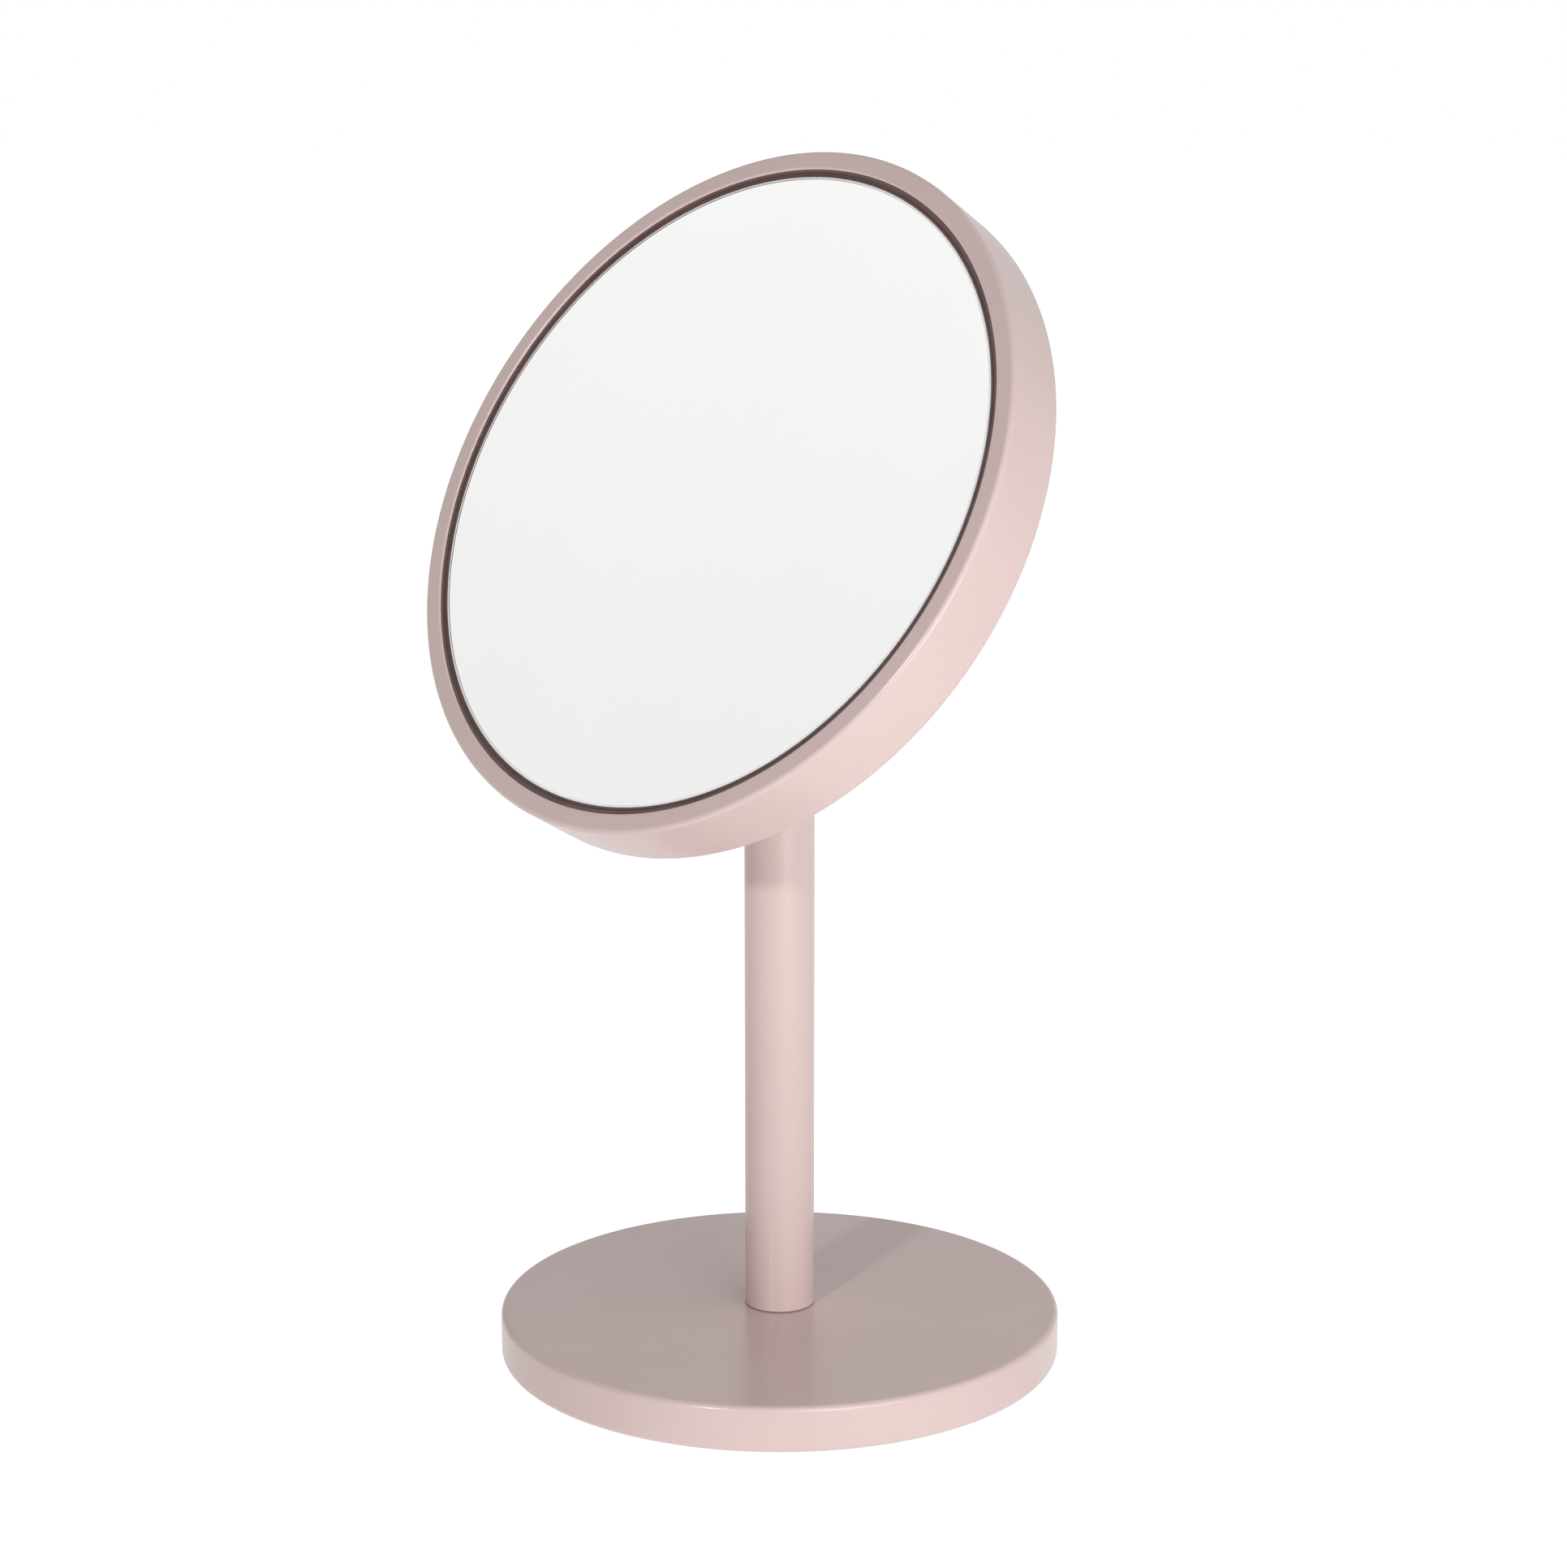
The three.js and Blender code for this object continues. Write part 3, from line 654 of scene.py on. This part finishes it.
def make_bracket_screws():
    """Four button-head screws through the flange."""
    head = (3.4 * MM, 2.2 * MM, 1.7 * MM)
    shank_radius = 1.7 * MM
    socket = (2.5 * MM, 1.3 * MM)
    for node, centre, top in bracket_screw_places():
        low, high = local_box(node, head_place)
        inward = (head_place @ Matrix.Translation((centre.x, centre.y, top))
                  @ Matrix.Rotation(math.pi, 4, "X"))
        screw = socket_screw(f"button_{node}", inward, head, shank_radius, high.z - low.z, socket)
        place_piece(screw, STEEL, "head", "zinc_steel", node)


# ---------------------------------------------------------------- the drum and the mirror

def rim_opening():
    """Radius of the opening in the drum's rim, from the points near its face."""
    front = span("head_case", head_place)[3]
    return span("head_case", head_place, above=front - 2 * RIM_EDGE)[0]


def make_head_case():
    """Spun shell: the front rim with its edge turned back, the side wall and the joggled back ledge."""
    ledge, radius, back, front = span("head_case", head_place)
    opening = rim_opening()
    lip_end = span("carrier_plate", head_place)[3] + GAP
    seat = span("back_cover", head_place)[1] + GAP
    sheet = HEAD_SHEET
    ledge_back = back + sheet + GAP
    joggle = seat + sheet
    outline = filleted([
        (opening, lip_end, 0.2 * MM),
        (opening, front, RIM_EDGE),
        (radius, front, RIM_ROUND),
        (radius, back, BACK_ROUND),
        (seat, back, 0.25 * MM),
        (seat, ledge_back, 0),
        (ledge, ledge_back, 0.2 * MM),
        (ledge, ledge_back + sheet, 0.2 * MM),
        (joggle, ledge_back + sheet, 0),
        (joggle, back + sheet, 0),
        (radius - sheet, back + sheet, BACK_ROUND - sheet),
        (radius - sheet, front - sheet, 0.4 * MM),
        (opening + sheet, front - sheet, 0),
        (opening + sheet, lip_end, 0.2 * MM),
    ], steps=8)
    case = lathe("drum_shell", outline, VERY_FINE, head_place)
    place_piece(case, PAINT, "head", "pink_powder_coat", "head_case")


def make_edge_seal():
    """Rubber ring round the glass: a face with a fine groove, and a thin dark lip up the wall of the
    rim that is painted shade on the wall inside the opening.
    """
    _, outer, low, high = span("edge_seal", head_place)
    inner = span("mirror_glass", head_place)[1] + GLASS_CLEARANCE
    middle = (inner + outer) / 2
    wall = rim_opening() - GLASS_CLEARANCE
    # the lip up the wall is painted shade: a dark rubber sheet over the rim's inner wall, which lies in
    # shade
    painted_shade_lip_inside = outer - 0.1 * MM
    painted_shade_lip_top = span("head_case", head_place)[3] - 0.5 * MM
    painted_shade_lip_round = 0.12 * MM
    groove = 0.12 * MM                # half the groove's width
    groove_floor = high - 2 * groove
    bead_round = 0.18 * MM
    seal = lathe("rubber_seal", filleted([
        (inner, low, 0),
        (outer, low, 0),
        (outer, groove_floor, 0),
        (wall, groove_floor, 0),
        (wall, painted_shade_lip_top, painted_shade_lip_round),
        (painted_shade_lip_inside, painted_shade_lip_top, painted_shade_lip_round),
        (painted_shade_lip_inside, high, 0),
        (middle + groove, high, bead_round),
        (middle, groove_floor, 0),
        (middle - groove, high, bead_round),
        (inner, high, bead_round),
    ], steps=4), VERY_FINE, head_place)
    place_piece(seal, RUBBER_AND_PAINTED_SHADE, "head", "brown_rubber", "edge_seal")


def make_mirror():
    """The silvered disc, the ground bevel round its face, and the step where the silver ends, coloured
    dark brown rubber as a painted reflection of the seal.
    """
    _, radius, back, face = span("mirror_glass", head_place)
    glass = lathe("mirror_disc", [
        (0, back),
        (radius - GLASS_ARRIS, back),
        (radius, back + GLASS_ARRIS),
        (radius, face - GLASS_BEVEL_DEPTH),
        (radius - GLASS_BEVEL, face),
        (radius - GLASS_BEVEL, face - SILVER_DEPTH),
        (0, face - SILVER_DEPTH),
    ], VERY_FINE, head_place)
    place_piece(glass, MIRROR, "head", "silvered_glass", "mirror_glass", sharp_angle=5)
    glass.data.materials.append(GLASS_EDGE)
    # the brown rubber colour on the step where the silver ends is a painted reflection of the seal
    glass.data.materials.append(RUBBER_AND_PAINTED_SHADE)
    silver_slot, ground_slot, painted_reflection_slot = range(3)
    level = 0.999                     # a face whose normal rises this much is the silvered face
    painted_reflection_reach = radius - 0.75 * GLASS_BEVEL
    for polygon in glass.data.polygons:
        reach = math.hypot(*polygon.center[:2])
        if polygon.normal.z > level:
            polygon.material_index = silver_slot
        elif polygon.center.z > face - SILVER_DEPTH and reach < painted_reflection_reach:
            # the riser below the bevel's inner edge takes the painted reflection of the seal
            polygon.material_index = painted_reflection_slot
        else:
            polygon.material_index = ground_slot


def make_back_cover():
    """Flush disc with countersunk screws, on the ledge of the shell."""
    _, radius, low, high = span("back_cover", head_place)
    cover = lathe("back_disc", filleted([
        (0, low, 0),
        (radius, low, 0.25 * MM),
        (radius, high, 0.15 * MM),
        (0, high, 0),
    ], steps=4), VERY_FINE, head_place)
    head_radius = 3 * MM
    head_height = 1.2 * MM
    shank_radius = 1.5 * MM
    socket = (2 * MM, 0.9 * MM)
    slope = (head_radius - shank_radius) / head_height
    sink_radius = head_radius + GAP / 2
    margin = 0.5 * MM                 # how far each cutting solid runs past the disc's faces
    tools = []
    for node in numbered("cover_screw"):
        screw_low, screw_high = local_box(node, head_place)
        centre = (screw_low + screw_high) / 2
        at = head_place @ Matrix.Translation((centre.x, centre.y, low))
        tools.append(lathe("countersink", [
            (0, -margin),
            (sink_radius + slope * margin, -margin),
            (sink_radius - slope * (high - low + margin), high - low + margin),
            (0, high - low + margin),
        ], MEDIUM, at))
        inward = at @ Matrix.Rotation(math.pi, 4, "X")
        screw = socket_screw(f"countersunk_{node}", inward, (head_radius, head_height, 0), shank_radius,
                             screw_high.z - screw_low.z, socket)
        place_piece(screw, STEEL, "head", "zinc_steel", node)
    for _, centre, _ in bracket_screw_places():
        at = head_place @ Matrix.Translation((centre.x, centre.y, low))
        tools.append(rod("hole", SCREW_HOLE_RADIUS, -margin, high - low + margin, at))
    combine(cover, tools, "DIFFERENCE")
    place_piece(cover, PAINT, "head", "pink_powder_coat", "back_cover")


def finish_hidden_nodes():
    """Pieces inside the foot, the pole and the drum keep their CAD shapes and get real materials."""
    steel_nodes = ["base_washer", "base_screw", "pole_plug", "top_bush", "thrust_washer",
                   "wave_washer", "stem_nut", "hub_plate", *numbered("carrier_post")]
    for material, nodes in (
        (IRON, ["base_ballast"]),
        (PLASTIC, ["carrier_plate"]),
        (TAPE, numbered("glass_tape")),
        (STEEL, steel_nodes),
    ):
        for node in nodes:
            for material_slot in frame["nodes"][node].material_slots:
                material_slot.material = material


# ---------------------------------------------------------------- the studio

CAMERA_AZIMUTH = 43.54            # degrees round from the head's facing direction
CAMERA_DISTANCE = 0.9261
CAMERA_HEIGHT = 0.3601
CAMERA_PITCH = 11.70              # degrees down
CAMERA_YAW = -0.07
CAMERA_LENS = 76.81
SENSOR_WIDTH = 36
VIEW_LIMIT = 100                  # the farthest thing that the camera sees

# Broad lights of the white room: degrees to the right of the camera, degrees up, brightness.
SKY = [
    (45, 12, 0.97),
    (90, 12, 0.47),
    (135, 50, 0.22),
    (-135, 50, 0.22),
    (0, 90, 0.33),
]
SKY_FOCUS = 4.0                   # a higher power makes each broad light narrower
SKY_SHEEN = 0.81                  # how white the room is where the object mirrors it

# Softboxes: name, degrees to the right of the camera, degrees up, distance, width, height, brightness
# and the point that they face.
SOFTBOXES = [
    ("spot", -28, 20, 1.8, 0.12, 0.12, 206.0, Vector((0, 0, 0.12))),
    ("strip", 27, 12, 0.6, 0.37, 0.25, 4.08, Vector((0, 0, 0.03))),
    ("sheen_strip", 16, 0, 1.0, 0.42, 2.4, 2.0, Vector((0, 0, 1.2))),
]
SHEEN_ONLY = ("sheen_strip",)     # shows as a highlight and gives no other light

FLOOR_SIZE = 30.0
FLOOR_GLOW = 0.855                # light that the white floor throws back at the object
FLOOR_COLOR = (0.12, 0.12, 0.12, 1)
WHITE = (1, 1, 1, 1)


def direction(right_of_camera, up):
    """Unit vector from the object, by degrees to the right of the camera and degrees up."""
    azimuth = math.radians(CAMERA_AZIMUTH + right_of_camera)
    rise = math.radians(up)
    level = math.cos(rise)
    return Vector((math.sin(azimuth) * level, -math.cos(azimuth) * level, math.sin(rise)))


def make_camera():
    camera = bpy.data.objects.new("camera", bpy.data.cameras.new("camera"))
    azimuth = math.radians(CAMERA_AZIMUTH)
    right = math.sin(azimuth) * CAMERA_DISTANCE
    back = -math.cos(azimuth) * CAMERA_DISTANCE
    camera.location = (right, back, CAMERA_HEIGHT)
    camera.rotation_euler = (math.radians(90 - CAMERA_PITCH), 0, azimuth + math.radians(CAMERA_YAW))
    camera.data.lens = CAMERA_LENS
    camera.data.sensor_width = SENSOR_WIDTH
    camera.data.clip_end = VIEW_LIMIT
    bpy.context.scene.collection.objects.link(camera)
    bpy.context.scene.camera = camera


def make_softbox(name, right_of_camera, up, distance, width, height, brightness, aim):
    """A rectangular light whose surface has the given brightness, facing a point."""
    light = bpy.data.lights.new(name, "AREA")
    light.shape = "RECTANGLE"
    light.size = width
    light.size_y = height
    light.energy = brightness * math.pi * width * height
    box = bpy.data.objects.new(name, light)
    box.location = aim + direction(right_of_camera, up) * distance
    box.rotation_euler = (aim - box.location).to_track_quat("-Z", "Y").to_euler()
    box.visible_camera = False
    box.visible_diffuse = name not in SHEEN_ONLY
    bpy.context.scene.collection.objects.link(box)


def by_ray(tree, kind, seen, otherwise):
    """One strength for rays of a kind, another for the rest."""
    choose = tree.nodes.new("ShaderNodeMapRange")
    tree.links.new(tree.nodes.new("ShaderNodeLightPath").outputs[kind], choose.inputs["Value"])
    choose.inputs["To Min"].default_value = otherwise
    choose.inputs["To Max"].default_value = seen
    return choose.outputs["Result"]


def make_sky():
    """A white room as broad soft lobes of light; the camera sees plain white behind the object."""
    world = bpy.data.worlds.new("studio")
    bpy.context.scene.world = world
    world.use_nodes = True
    tree = world.node_tree
    background = tree.nodes["Background"]
    looking = tree.nodes.new("ShaderNodeTexCoord").outputs["Generated"]
    total = by_ray(tree, "Is Glossy Ray", SKY_SHEEN, 0.0)
    for right_of_camera, up, brightness in SKY:
        facing = tree.nodes.new("ShaderNodeVectorMath")
        facing.operation = "DOT_PRODUCT"
        tree.links.new(looking, facing.inputs[0])
        facing.inputs[1].default_value = direction(right_of_camera, up)
        level = facing.outputs["Value"]
        for operation, operand in (("MAXIMUM", 0.0), ("POWER", SKY_FOCUS), ("MULTIPLY", brightness)):
            step = tree.nodes.new("ShaderNodeMath")
            step.operation = operation
            tree.links.new(level, step.inputs[0])
            step.inputs[1].default_value = operand
            level = step.outputs[0]
        adding = tree.nodes.new("ShaderNodeMath")
        adding.operation = "ADD"
        tree.links.new(total, adding.inputs[0])
        tree.links.new(level, adding.inputs[1])
        total = adding.outputs[0]
    tree.links.new(total, background.inputs["Strength"])
    white = tree.nodes.new("ShaderNodeBackground")
    for shader in (background, white):
        shader.inputs["Color"].default_value = WHITE
    choose = tree.nodes.new("ShaderNodeMixShader")
    seen = tree.nodes.new("ShaderNodeLightPath").outputs["Is Camera Ray"]
    tree.links.new(seen, choose.inputs["Fac"])
    tree.links.new(background.outputs[0], choose.inputs[1])
    tree.links.new(white.outputs[0], choose.inputs[2])
    tree.links.new(choose.outputs[0], tree.nodes["World Output"].inputs["Surface"])


def make_floor():
    """A wide pale floor that the camera sees as white."""
    half = FLOOR_SIZE / 2
    corners = ((-half, -half), (half, -half), (half, half), (-half, half))
    shape = bmesh.new()
    shape.faces.new([shape.verts.new((x, y, 0)) for x, y in corners])
    floor = to_object("floor", shape, ground_place)
    surface = Surface("pale_floor", Roughness=0.9)
    surface.shader.inputs["Base Color"].default_value = FLOOR_COLOR
    surface.shader.inputs["Emission Color"].default_value = WHITE
    glow = by_ray(surface.tree, "Is Camera Ray", 1.0, FLOOR_GLOW)
    surface.tree.links.new(glow, surface.shader.inputs["Emission Strength"])
    surface.bump(surface.noise(300), 0.01 * MM)
    floor.data.materials.append(surface.material)


make_base_cover()
make_foot_pad()
make_pole()
make_knuckle()
make_bracket()
make_tilt_axle()
make_dome_nut()
make_disc_spring()
make_friction_washers()
make_bracket_screws()
make_head_case()
make_edge_seal()
make_mirror()
make_back_cover()
finish_hidden_nodes()

make_camera()
make_sky()
for softbox in SOFTBOXES:
    make_softbox(*softbox)
make_floor()
bpy.context.scene.view_settings.view_transform = "Standard"
